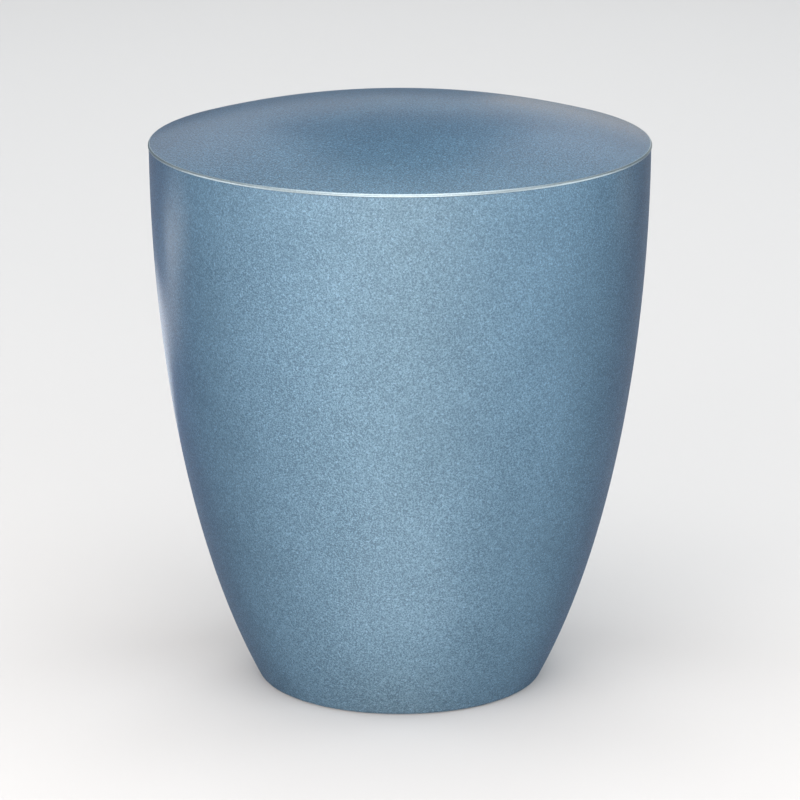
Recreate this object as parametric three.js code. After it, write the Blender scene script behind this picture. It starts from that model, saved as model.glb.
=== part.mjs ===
// Funeral urn: a tapering vessel spun from sheet steel, closed by a low domed lid that lifts off.
// Millimetres, +Z up. The origin is the centre of the plane that the urn stands on.
import * as THREE from "three";

// Driving dimensions
const RIM_HEIGHT = 260; // from the stand to the top edge of the vessel's wall
const RIM_RADIUS = 117.6; // outside of the wall at the mouth, its widest place
const TAPER_DEPTH = 317; // upright half-axis of the ellipse that the wall follows down from the mouth
const SHEET = 1.2; // thickness of the steel sheet
const FOOT_RADIUS = 4; // outside radius of the bend between wall and bottom
const STAND_WIDTH = 10; // width of the flat ring that the urn stands on
const BOTTOM_RECESS = 2; // height of the bottom's pressed-in middle above the stand ring
const RECESS_SLOPE = 5; // width of the slope between the stand ring and the middle
const LID_RADIUS = 118; // outside of the lid's edge, just proud of the wall
const LID_EDGE = 1.3; // height of the lid's edge band
const LID_GAP = 0.3; // shadow gap between the lid's edge and the rim of the vessel
const DOME_RISE = 17; // height of the crown above the lid's edge
const COLLAR_DEPTH = 14; // how far the lid's collar reaches below the rim
const COLLAR_PLAY = 0.6; // free space between collar and mouth, all round
const RIM_CHAMFER = 0.3; // broken edge of cut sheet
const LID_CHAMFER = 0.4; // broken upper edge of the lid

// Fineness of the facets
const SIDES = 60;
const WALL_STEPS = 15;
const FOOT_STEPS = 4;
const DOME_STEPS = 8;
const HALVINGS = 40;

// Finish: blue metallic lacquer
const LACQUER = { color: 0x6488aa, roughness: 0.38, metalness: 0.55 };

// Every profile runs as (distance from the axis, height).
const at = (radius, height) => new THREE.Vector2(radius, height);

// Angles spread evenly between two limits, both included.
function spread(first, last, steps) {
  return Array.from({ length: steps + 1 }, (_, i) => first + ((last - first) * i) / steps);
}

// Points of an arc about a centre, from one angle to another.
function arc(centre, radius, first, last, steps) {
  return spread(first, last, steps).map((angle) =>
    at(centre.x + radius * Math.cos(angle), centre.y + radius * Math.sin(angle)),
  );
}

// Outward direction of the wall, where turn is 0 at the mouth and grows downwards.
function wallNormal(turn) {
  return at(Math.cos(turn) / RIM_RADIUS, -Math.sin(turn) / TAPER_DEPTH).normalize();
}

// A point of the elliptical wall, moved inwards by the inset along its normal.
function wallPoint(turn, inset) {
  const outside = at(RIM_RADIUS * Math.cos(turn), RIM_HEIGHT - TAPER_DEPTH * Math.sin(turn));
  return outside.addScaledVector(wallNormal(turn), -inset);
}

// The turn at which the foot's bend takes over from the wall: its centre lies FOOT_RADIUS above the stand.
function findFootTurn() {
  let above = 0;
  let below = Math.asin(RIM_HEIGHT / TAPER_DEPTH);
  for (let i = 0; i < HALVINGS; i += 1) {
    const middle = (above + below) / 2;
    if (wallPoint(middle, FOOT_RADIUS).y > FOOT_RADIUS) above = middle;
    else below = middle;
  }
  return above;
}

// A lathe solid about +Z from a profile that starts and ends on the axis.
function turned(profile) {
  return new THREE.LatheGeometry(profile, SIDES).rotateX(Math.PI / 2);
}

// The vessel: bottom, bend, wall and rim outside, then the same sheet's inside back to the axis.
function vesselGeometry() {
  const footTurn = findFootTurn();
  const footCentre = wallPoint(footTurn, FOOT_RADIUS);
  const footAngle = wallNormal(footTurn).angle() - 2 * Math.PI;
  const recessRadius = footCentre.x - STAND_WIDTH;
  const mouthRadius = RIM_RADIUS - SHEET;
  const wallTop = Math.asin(RIM_CHAMFER / TAPER_DEPTH);
  const turns = spread(wallTop, footTurn, WALL_STEPS).slice(0, -1);
  const outside = [
    at(0, BOTTOM_RECESS),
    at(recessRadius - RECESS_SLOPE, BOTTOM_RECESS),
    at(recessRadius, 0),
    ...arc(footCentre, FOOT_RADIUS, -Math.PI / 2, footAngle, FOOT_STEPS),
    ...turns.map((turn) => wallPoint(turn, 0)).reverse(),
  ];
  const rim = [at(RIM_RADIUS - RIM_CHAMFER, RIM_HEIGHT), at(mouthRadius + RIM_CHAMFER, RIM_HEIGHT)];
  const inside = [
    ...turns.map((turn) => wallPoint(turn, SHEET)),
    ...arc(footCentre, FOOT_RADIUS - SHEET, footAngle, -Math.PI / 2, FOOT_STEPS),
    at(recessRadius, SHEET),
    at(recessRadius - RECESS_SLOPE, BOTTOM_RECESS + SHEET),
    at(0, BOTTOM_RECESS + SHEET),
  ];
  return turned([...outside, ...rim, ...inside]);
}

// The lid: a spherical crown with a thin edge band that sits over the rim, and a collar that centres it.
function lidGeometry() {
  const seat = RIM_HEIGHT + LID_GAP;
  const shoulder = seat + LID_EDGE;
  const crownRadius = LID_RADIUS - LID_CHAMFER;
  const sphere = (crownRadius ** 2 + DOME_RISE ** 2) / (2 * DOME_RISE);
  const centre = at(0, shoulder + DOME_RISE - sphere);
  const collarOutside = RIM_RADIUS - SHEET - COLLAR_PLAY;
  const collarInside = collarOutside - SHEET;
  const collarFoot = RIM_HEIGHT - COLLAR_DEPTH;
  const crownEdge = Math.acos(crownRadius / sphere);
  const hollowEdge = Math.acos(collarInside / (sphere - SHEET));
  const underside = arc(centre, sphere - SHEET, Math.PI / 2, hollowEdge, DOME_STEPS).slice(1);
  const collar = [
    at(collarInside, collarFoot + RIM_CHAMFER),
    at(collarInside + RIM_CHAMFER, collarFoot),
    at(collarOutside - RIM_CHAMFER, collarFoot),
    at(collarOutside, collarFoot + RIM_CHAMFER),
    at(collarOutside, seat),
  ];
  const edge = [
    at(LID_RADIUS - RIM_CHAMFER, seat),
    at(LID_RADIUS, seat + RIM_CHAMFER),
    at(LID_RADIUS, shoulder - LID_CHAMFER),
  ];
  const crown = arc(centre, sphere, crownEdge, Math.PI / 2, DOME_STEPS).slice(0, -1);
  const hollowTop = at(0, centre.y + sphere - SHEET);
  const crownTop = at(0, centre.y + sphere);
  return turned([hollowTop, ...underside, ...collar, ...edge, ...crown, crownTop]);
}

function piece(name, geometry) {
  const mesh = new THREE.Mesh(geometry, new THREE.MeshStandardMaterial(LACQUER));
  mesh.name = name;
  return mesh;
}

const urn = new THREE.Group();
urn.add(piece("urn_body", vesselGeometry()), piece("urn_lid", lidGeometry()));

export default urn;
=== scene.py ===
"""Funeral urn: a spun steel vessel and its lift-off domed lid, in blue metallic lacquer, on a pale floor."""
import bpy
import numpy as np
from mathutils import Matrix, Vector


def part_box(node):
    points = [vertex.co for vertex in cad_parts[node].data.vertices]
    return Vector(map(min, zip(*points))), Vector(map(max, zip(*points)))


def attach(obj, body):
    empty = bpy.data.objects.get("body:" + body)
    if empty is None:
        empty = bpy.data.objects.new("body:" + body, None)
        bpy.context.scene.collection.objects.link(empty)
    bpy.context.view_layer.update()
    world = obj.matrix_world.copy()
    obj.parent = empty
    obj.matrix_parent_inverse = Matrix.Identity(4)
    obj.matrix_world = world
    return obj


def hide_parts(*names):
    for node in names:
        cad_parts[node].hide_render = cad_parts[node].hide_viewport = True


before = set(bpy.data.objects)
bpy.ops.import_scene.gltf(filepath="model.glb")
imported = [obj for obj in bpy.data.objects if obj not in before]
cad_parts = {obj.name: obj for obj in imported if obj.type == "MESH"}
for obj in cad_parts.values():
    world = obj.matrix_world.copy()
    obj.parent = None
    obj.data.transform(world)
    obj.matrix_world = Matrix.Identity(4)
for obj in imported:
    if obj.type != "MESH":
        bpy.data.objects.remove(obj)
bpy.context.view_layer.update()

# The vessel: one piece spun from sheet steel, open at the mouth and hollow down to its thin bottom.
# The wall leaves the mouth upright and follows a quarter ellipse down to a tight bend at the foot.
# The middle of the bottom is pressed in, so the urn stands on a narrow flat ring.
vessel_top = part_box("urn_body")[1]
RIM_HEIGHT = vessel_top.z
RIM_RADIUS = vessel_top.x
TAPER_DEPTH = 0.317
SHEET = 0.0012
RIM_ROUND = 0.00015
FOOT_RADIUS = 0.004
STAND_WIDTH = 0.010
BOTTOM_RECESS = 0.002
RECESS_SLOPE = 0.005
SIDES = 288
TRIAL_COUNT = 20001


def eased(first, last, count):
    """Numbers from first to last, closer together at both ends: even steps along half a cosine wave."""
    return first + (last - first) * (1 - np.cos(np.linspace(0, np.pi, count))) / 2


def straight(start, end, count):
    """Points of a straight line between two places, closer together at both ends."""
    return np.asarray(start) + eased(0, 1, count)[:, None] * (np.asarray(end) - np.asarray(start))


def arc(centre, radius, first, last, count):
    """Points of a circle's arc: the centre plus the radius times the cosine and sine of each angle."""
    angle = np.linspace(first, last, count)
    return np.asarray(centre) + radius * np.stack([np.cos(angle), np.sin(angle)], axis=-1)


def step(start, end, count):
    """Points of a pressed step: even steps across, while the height eases from start to end."""
    return np.stack([np.linspace(start[0], end[0], count), eased(start[1], end[1], count)], axis=-1)


def wall(turn, inset):
    """Points of the tapering wall, at the given turns down from the mouth: an ellipse about the mouth's plane
    with half-axes RIM_RADIUS and TAPER_DEPTH, moved inwards along its normal by the inset."""
    across, down = np.cos(turn), np.sin(turn)
    normal = np.stack([across / RIM_RADIUS, -down / TAPER_DEPTH], axis=-1)
    normal /= np.linalg.norm(normal, axis=-1, keepdims=True)
    return np.stack([RIM_RADIUS * across, RIM_HEIGHT - TAPER_DEPTH * down], axis=-1) - inset * normal


def turned(name, stretches, finishes):
    """Surface of revolution: a profile point (r, h) becomes (r cos a, r sin a, h) at SIDES even angles a.
    The stretches of the profile run on from each other, from the axis round and back to it.
    Each stretch has a finish of its own."""
    profile = np.concatenate(stretches)
    angle = np.arange(SIDES) * 2 * np.pi / SIDES
    rings = profile[1:-1]
    places = np.empty((len(rings), SIDES, 3))
    places[..., 0] = rings[:, :1] * np.cos(angle)
    places[..., 1] = rings[:, :1] * np.sin(angle)
    places[..., 2] = rings[:, 1:]
    poles = [[0, 0, profile[0, 1]], [0, 0, profile[-1, 1]]]
    points = np.concatenate([places.reshape(-1, 3), poles])
    here = np.arange(SIDES)
    beside = (here + 1) % SIDES
    base = SIDES * np.arange(len(rings) - 1)[:, None]
    corners = [base + here, base + beside, base + SIDES + beside, base + SIDES + here]
    quads = np.stack(corners, axis=-1).reshape(-1, 4)
    last = SIDES * (len(rings) - 1)
    first_fan = np.stack([np.full(SIDES, len(points) - 2), beside, here], axis=-1)
    last_fan = np.stack([np.full(SIDES, len(points) - 1), last + here, last + beside], axis=-1)
    mesh = bpy.data.meshes.new(name)
    mesh.from_pydata(points.tolist(), [], quads.tolist() + first_fan.tolist() + last_fan.tolist())
    mesh.polygons.foreach_set("use_smooth", np.ones(len(mesh.polygons), dtype=bool))
    coats = np.repeat(np.arange(len(stretches)), [len(stretch) for stretch in stretches])
    bands = np.concatenate([coats[2:-1], coats[:1], coats[-1:]])
    mesh.polygons.foreach_set("material_index", np.repeat(bands, SIDES).astype(np.int32))
    for finish in finishes:
        mesh.materials.append(finish)
    mesh.validate()
    mesh.update()
    piece = bpy.data.objects.new(name, mesh)
    bpy.context.scene.collection.objects.link(piece)
    return piece


METAL_SHARE = 0.95
QUARTER_TURN = 0.25
COAT_ROUGHNESS = 0.26
PEEL_SCALE = 1200
PEEL_DETAIL = 1.0
FLAKE_SCALE = 2600
CLOUD_SCALE = 30
FLAKE_SHARE = 0.4
CLOUD_SHARE = 0.12
DEEPEST_SPOT, PALEST_SPOT = 0.40, 0.80
GLOSS_SHIFT = 0.08
WALL_EDGE_TINT = (0.06, 0.20, 0.40)


def lacquer(name, blue, deep_blue, edge_blue, roughness, stretch, relief, clear_coat):
    """Metallic lacquer on Object coordinates. A noise about a millimetre across is the peel of the sprayed
    coat, which raises low bumps. Cells of a finer pattern are the metal flakes, with one random tone each.
    Peel, flakes and a slow cloudiness together shift the gloss and pick each spot's tone between two blues."""
    finish = bpy.data.materials.new(name)
    finish.use_nodes = True
    nodes = finish.node_tree.nodes
    links = finish.node_tree.links
    shader = nodes["Principled BSDF"]
    shader.inputs["Metallic"].default_value = METAL_SHARE
    shader.inputs["Specular Tint"].default_value = (*edge_blue, 1)
    shader.inputs["Anisotropic"].default_value = stretch
    shader.inputs["Anisotropic Rotation"].default_value = QUARTER_TURN
    shader.inputs["Coat Weight"].default_value = clear_coat
    shader.inputs["Coat Roughness"].default_value = COAT_ROUGHNESS
    around = nodes.new("ShaderNodeTangent")
    around.direction_type = "RADIAL"
    around.axis = "Z"
    links.new(around.outputs["Tangent"], shader.inputs["Tangent"])
    place = nodes.new("ShaderNodeTexCoord")
    peel = nodes.new("ShaderNodeTexNoise")
    peel.inputs["Scale"].default_value = PEEL_SCALE
    peel.inputs["Detail"].default_value = PEEL_DETAIL
    flakes = nodes.new("ShaderNodeTexVoronoi")
    flakes.inputs["Scale"].default_value = FLAKE_SCALE
    cloud = nodes.new("ShaderNodeTexNoise")
    cloud.inputs["Scale"].default_value = CLOUD_SCALE
    for pattern in (peel, flakes, cloud):
        links.new(place.outputs["Object"], pattern.inputs["Vector"])
    grain = nodes.new("ShaderNodeMix")
    grain.inputs["Factor"].default_value = FLAKE_SHARE
    links.new(peel.outputs["Fac"], grain.inputs["A"])
    links.new(flakes.outputs["Color"], grain.inputs["B"])
    mottle = nodes.new("ShaderNodeMix")
    mottle.inputs["Factor"].default_value = CLOUD_SHARE
    links.new(grain.outputs["Result"], mottle.inputs["A"])
    links.new(cloud.outputs["Fac"], mottle.inputs["B"])
    spread = nodes.new("ShaderNodeMapRange")
    spread.inputs["From Min"].default_value = DEEPEST_SPOT
    spread.inputs["From Max"].default_value = PALEST_SPOT
    links.new(mottle.outputs["Result"], spread.inputs["Value"])
    tone = nodes.new("ShaderNodeMix")
    tone.data_type = "RGBA"
    tone.inputs["A"].default_value = (*deep_blue, 1)
    tone.inputs["B"].default_value = (*blue, 1)
    links.new(spread.outputs["Result"], tone.inputs["Factor"])
    links.new(tone.outputs["Result"], shader.inputs["Base Color"])
    gloss = nodes.new("ShaderNodeMapRange")
    gloss.inputs["To Min"].default_value = roughness - GLOSS_SHIFT
    gloss.inputs["To Max"].default_value = roughness + GLOSS_SHIFT
    links.new(mottle.outputs["Result"], gloss.inputs["Value"])
    links.new(gloss.outputs["Result"], shader.inputs["Roughness"])
    bumps = nodes.new("ShaderNodeBump")
    bumps.inputs["Distance"].default_value = relief
    links.new(peel.outputs["Fac"], bumps.inputs["Height"])
    links.new(bumps.outputs["Normal"], shader.inputs["Normal"])
    return finish


wall_lacquer = lacquer(
    "blue_metallic_lacquer", blue=(0.181, 0.296, 0.394), deep_blue=(0.062, 0.109, 0.152),
    edge_blue=WALL_EDGE_TINT, roughness=0.55, stretch=0.75, relief=0.0004, clear_coat=0.28)
thin_lacquer = lacquer(
    "thin_inside_lacquer", blue=(0.10, 0.17, 0.25), deep_blue=(0.07, 0.12, 0.18),
    edge_blue=WALL_EDGE_TINT, roughness=0.6, stretch=0.0, relief=0.00003, clear_coat=0.0)

trial_turns = np.linspace(0, np.arcsin(RIM_HEIGHT / TAPER_DEPTH), TRIAL_COUNT)
foot_turn = np.interp(-FOOT_RADIUS, -wall(trial_turns, FOOT_RADIUS)[:, 1], trial_turns)
foot_centre = wall(foot_turn, FOOT_RADIUS)
foot_angle = np.arctan2(-np.tan(foot_turn) * RIM_RADIUS, TAPER_DEPTH)
stand_radius = foot_centre[0]
slope_outside = stand_radius - STAND_WIDTH
slope_inside = slope_outside - RECESS_SLOPE
inner_floor = BOTTOM_RECESS + SHEET
rim_turn = np.arcsin(RIM_ROUND / TAPER_DEPTH)
rim_outside = (RIM_RADIUS - RIM_ROUND, RIM_HEIGHT - RIM_ROUND)
rim_inside = (RIM_RADIUS - SHEET + RIM_ROUND, RIM_HEIGHT - RIM_ROUND)

vessel_outside = np.concatenate([
    straight((0, BOTTOM_RECESS), (slope_inside, BOTTOM_RECESS), count=16),
    step((slope_inside, BOTTOM_RECESS), (slope_outside, 0), count=14)[1:],
    straight((slope_outside, 0), (stand_radius, 0), count=8)[1:],
    arc(foot_centre, FOOT_RADIUS, -np.pi / 2, foot_angle, count=14)[1:],
    wall(eased(foot_turn, rim_turn, count=110), inset=0)[1:],
    arc(rim_outside, RIM_ROUND, 0, np.pi / 2, count=7)[1:],
])
vessel_inside = np.concatenate([
    arc(rim_inside, RIM_ROUND, np.pi / 2, np.pi, count=7),
    wall(eased(rim_turn, foot_turn, count=60), inset=SHEET)[1:],
    arc(foot_centre, FOOT_RADIUS - SHEET, foot_angle, -np.pi / 2, count=10)[1:],
    straight((stand_radius, SHEET), (slope_outside, SHEET), count=6)[1:],
    step((slope_outside, SHEET), (slope_inside, inner_floor), count=10)[1:],
    straight((slope_inside, inner_floor), (0, inner_floor), count=10)[1:],
])
vessel = turned("vessel", [vessel_outside, vessel_inside], [wall_lacquer, thin_lacquer])
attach(vessel, "root")
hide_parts("urn_body")

# The lid: a low dome of the same sheet with a rounded edge that lies just proud of the vessel's rim.
# A collar under the edge drops into the mouth and keeps the lid central, so it lifts straight off.
# It is lacquered like the vessel, with a paler edge that is a painted highlight, and thinly on the underside.
lid_low, lid_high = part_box("urn_lid")
LID_RADIUS = lid_high.x
CROWN_HEIGHT = lid_high.z
COLLAR_FOOT = lid_low.z
LID_GAP = 0.0001
EDGE_BEND = 0.0012
EDGE_LIP = 0.0002
COLLAR_PLAY = 0.0006
COLLAR_BEND = 0.0015
SEAT_BEND = 0.0002
LID_EDGE_TINT = (0.12, 0.22, 0.34)

lid_lacquer = lacquer(
    "blue_lid_lacquer", blue=(0.187, 0.340, 0.456), deep_blue=(0.050, 0.099, 0.144),
    edge_blue=LID_EDGE_TINT, roughness=0.42, stretch=0.0, relief=0.0004, clear_coat=0.42)
# The edge's paler blues are a painted highlight: they stand in for the bright line of light along the lid's
# rounded edge.
edge_lacquer = lacquer(
    "painted_highlight_edge_lacquer", blue=(0.51, 0.60, 0.64), deep_blue=(0.37, 0.45, 0.49),
    edge_blue=LID_EDGE_TINT, roughness=0.42, stretch=0.0, relief=0.0001, clear_coat=0.45)

seat = RIM_HEIGHT + LID_GAP
lip_centre = (LID_RADIUS - EDGE_LIP, seat + EDGE_LIP)
edge_centre = (LID_RADIUS - EDGE_BEND, seat + EDGE_LIP)
drop = CROWN_HEIGHT - EDGE_BEND - edge_centre[1]
crown_radius = EDGE_BEND + (edge_centre[0] ** 2 + drop ** 2) / (2 * drop)
crown_centre = (0, CROWN_HEIGHT - crown_radius)
crown_edge = np.arctan2(edge_centre[1] - crown_centre[1], edge_centre[0])
collar_outside = RIM_RADIUS - SHEET - COLLAR_PLAY
collar_inside = collar_outside - SHEET
collar_centre = ((collar_outside + collar_inside) / 2, COLLAR_FOOT + SHEET / 2)
hollow_radius = crown_radius - SHEET
bend_reach = hollow_radius - COLLAR_BEND
bend_across = collar_inside - COLLAR_BEND
bend_centre = (bend_across, crown_centre[1] + np.sqrt(bend_reach ** 2 - bend_across ** 2))
bend_edge = np.arctan2(bend_centre[1] - crown_centre[1], bend_across)
seat_corner = (collar_outside + SEAT_BEND, seat - SEAT_BEND)

lid_inside = np.concatenate([
    arc(crown_centre, hollow_radius, np.pi / 2, bend_edge, count=40),
    arc(bend_centre, COLLAR_BEND, bend_edge, 0, count=8)[1:],
    straight((collar_inside, bend_centre[1]), (collar_inside, collar_centre[1]), count=10)[1:],
    arc(collar_centre, SHEET / 2, -np.pi, 0, count=12)[1:],
    straight((collar_outside, collar_centre[1]), (collar_outside, seat_corner[1]), count=10)[1:],
    arc(seat_corner, SEAT_BEND, np.pi, np.pi / 2, count=5)[1:],
    straight((seat_corner[0], seat), (lip_centre[0], seat), count=6)[1:],
])
lid_edge = np.concatenate([
    arc(lip_centre, EDGE_LIP, -np.pi / 2, 0, count=6)[1:],
    arc(edge_centre, EDGE_BEND, 0, crown_edge, count=18)[1:],
])
crown = arc(crown_centre, crown_radius, crown_edge, np.pi / 2, count=90)[1:]
lid_inside[0, 0] = 0
crown[-1, 0] = 0
lid = turned("lid", [lid_inside, lid_edge, crown], [thin_lacquer, edge_lacquer, lid_lacquer])
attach(lid, "root")
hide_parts("urn_lid")

# The floor: a wide pale surface, matt and even, that the urn stands on.
# It reaches past the picture's edges on every side.
FLOOR_REACH = 6.0
FLOOR_GREY = (0.5, 0.5, 0.5, 1)
FLOOR_ROUGHNESS = 0.9
floor_mesh = bpy.data.meshes.new("floor")
floor_corners = FLOOR_REACH * np.array([[-1, -1, 0], [1, -1, 0], [1, 1, 0], [-1, 1, 0]])
floor_mesh.from_pydata(floor_corners.tolist(), [], [[0, 1, 2, 3]])
pale = bpy.data.materials.new("pale_floor")
pale.use_nodes = True
pale.node_tree.nodes["Principled BSDF"].inputs["Base Color"].default_value = FLOOR_GREY
pale.node_tree.nodes["Principled BSDF"].inputs["Roughness"].default_value = FLOOR_ROUGHNESS
floor_mesh.materials.append(pale)
floor = bpy.data.objects.new("floor", floor_mesh)
bpy.context.scene.collection.objects.link(floor)

# The studio light: soft boxes all round the urn in a pale room, and small glowing cards on the floor.
# Low strips and higher boxes draw the long highlights of the wall, and the cards its low gleams.
# The cards, front and side boxes leave the lid out, and four others light it alone, so its outline shows.
WARM = (1.0, 0.85, 0.75)
AMBER = (1.0, 0.82, 0.60)
NEUTRAL = (1.0, 1.0, 1.0)
COOL = (0.89, 0.95, 1.0)
CARD_HEIGHT = 0.004
ROOM_GREY = (0.8, 0.8, 0.8, 1)
ROOM_STRENGTH = 0.25
urn_middle = Vector((0, 0, CROWN_HEIGHT / 2))


def lit_group(name, pieces):
    """The pieces that a light shines on, gathered under a name; it passes all others by."""
    group = bpy.data.collections.new(name)
    for piece in pieces:
        group.objects.link(piece)
    return group


def softbox(name, azimuth, elevation, distance, width, height, watts, colour, lit):
    """A rectangular light at the azimuth, elevation and distance from the urn's middle, turned to face it.
    Azimuth 0 is on the camera's side and grows to the right. With no lit group it shines on everything."""
    light = bpy.data.lights.new(name, "AREA")
    light.shape = "RECTANGLE"
    light.size = width
    light.size_y = height
    light.energy = watts
    light.color = colour
    turn, rise = np.radians(azimuth), np.radians(elevation)
    away = Vector((np.sin(turn) * np.cos(rise), -np.cos(turn) * np.cos(rise), np.sin(rise)))
    box = bpy.data.objects.new(name, light)
    box.location = urn_middle + distance * away
    box.rotation_euler = away.to_track_quat("Z", "Y").to_euler()
    box.visible_camera = False
    box.light_linking.receiver_collection = lit
    bpy.context.scene.collection.objects.link(box)
    return box


wall_group = lit_group("vessel_and_floor", (vessel, floor))
lid_group = lit_group("lid_alone", (lid,))
# Each row: name, azimuth, elevation, distance, width, height, watts, colour, lit group.
for row in (
        ("front_strip", 0, 4, 2.5, 2.9, 0.35, 57, WARM, wall_group),
        ("left_strip", -58, 4, 2.5, 2.9, 0.35, 47, COOL, wall_group),
        ("right_strip", 60, 4, 2.5, 2.9, 0.35, 41, COOL, wall_group),
        ("key", -6, 15, 2.5, 2.8, 0.6, 42, WARM, wall_group),
        ("left_key", -48, 15, 2.5, 1.75, 0.6, 26, WARM, wall_group),
        ("right_key", 50, 15, 2.5, 1.75, 0.6, 16, NEUTRAL, wall_group),
        ("front_high", 0, 30, 2.5, 4.2, 0.7, 15, NEUTRAL, wall_group),
        ("left_side", -105, 20, 2.5, 1.2, 0.7, 15.4, COOL, wall_group),
        ("right_side", 105, 20, 2.5, 1.2, 0.7, 17.8, COOL, wall_group),
        ("edge_light", 0, 10, 2.5, 3.1, 0.9, 46, NEUTRAL, lid_group),
        ("left_edge_light", -80, 12, 2.5, 2.6, 0.9, 20, NEUTRAL, lid_group),
        ("right_edge_light", 80, 12, 2.5, 2.6, 0.9, 20, NEUTRAL, lid_group),
        ("ceiling", 0, 80, 4.0, 4.0, 4.0, 150, NEUTRAL, None),
        ("back_low", 180, 14, 2.5, 2.0, 0.53, 4.0, NEUTRAL, None),
        ("back_right_low", 163, 5, 2.5, 1.2, 0.45, 2.1, AMBER, lid_group),
        ("back_left", -165, 33, 2.5, 0.55, 1.15, 4.4, COOL, None),
        ("back_right", 165, 33, 2.5, 0.55, 1.15, 4.9, COOL, None),
        ("back_middle", 180, 33, 2.5, 0.55, 1.15, 0.9, COOL, None),
        ("back_high", 180, 54, 2.5, 1.15, 0.7, 8, NEUTRAL, None)):
    softbox(*row)
for name, azimuth, distance, width, length, watts in (
        ("far_card", -120, 0.92, 0.24, 0.36, 1.8),
        ("middle_card", -130, 0.65, 0.20, 0.24, 0.35),
        ("near_card", -157, 0.60, 0.33, 0.30, 1.15),
        ("right_card", 118, 1.15, 0.30, 0.30, 0.6),
        ("front_card", 0, 0.19, 0.13, 0.15, 0.075)):
    card = softbox(name, azimuth, 0, distance, width, length, watts, NEUTRAL, wall_group)
    card.location.z = CARD_HEIGHT
    card.rotation_euler = (np.pi, 0, -np.radians(azimuth))
room = bpy.data.worlds.new("pale_room")
room.use_nodes = True
room.node_tree.nodes["Background"].inputs["Color"].default_value = ROOM_GREY
room.node_tree.nodes["Background"].inputs["Strength"].default_value = ROOM_STRENGTH
bpy.context.scene.world = room
bpy.context.scene.view_settings.view_transform = "Standard"

# The camera: a long lens a little above the urn, level from side to side and looking down at the lid.
# Its pitch, distance and lens put the urn's outline where the photograph has it.
CAMERA_PITCH = np.radians(15.41)
CAMERA_DISTANCE = 1.942
CAMERA_LENS = 183.3
SENSOR_WIDTH = 36
FAR_LIMIT = 50
AIM_HEIGHT = 0.13506
lens = bpy.data.cameras.new("camera")
lens.lens = CAMERA_LENS
lens.sensor_width = SENSOR_WIDTH
lens.clip_end = FAR_LIMIT
camera = bpy.data.objects.new("camera", lens)
camera_back = CAMERA_DISTANCE * np.cos(CAMERA_PITCH)
camera_rise = CAMERA_DISTANCE * np.sin(CAMERA_PITCH)
camera.location = (0, -camera_back, AIM_HEIGHT + camera_rise)
camera.rotation_euler = (np.pi / 2 - CAMERA_PITCH, 0, 0)
bpy.context.scene.collection.objects.link(camera)
bpy.context.scene.camera = camera
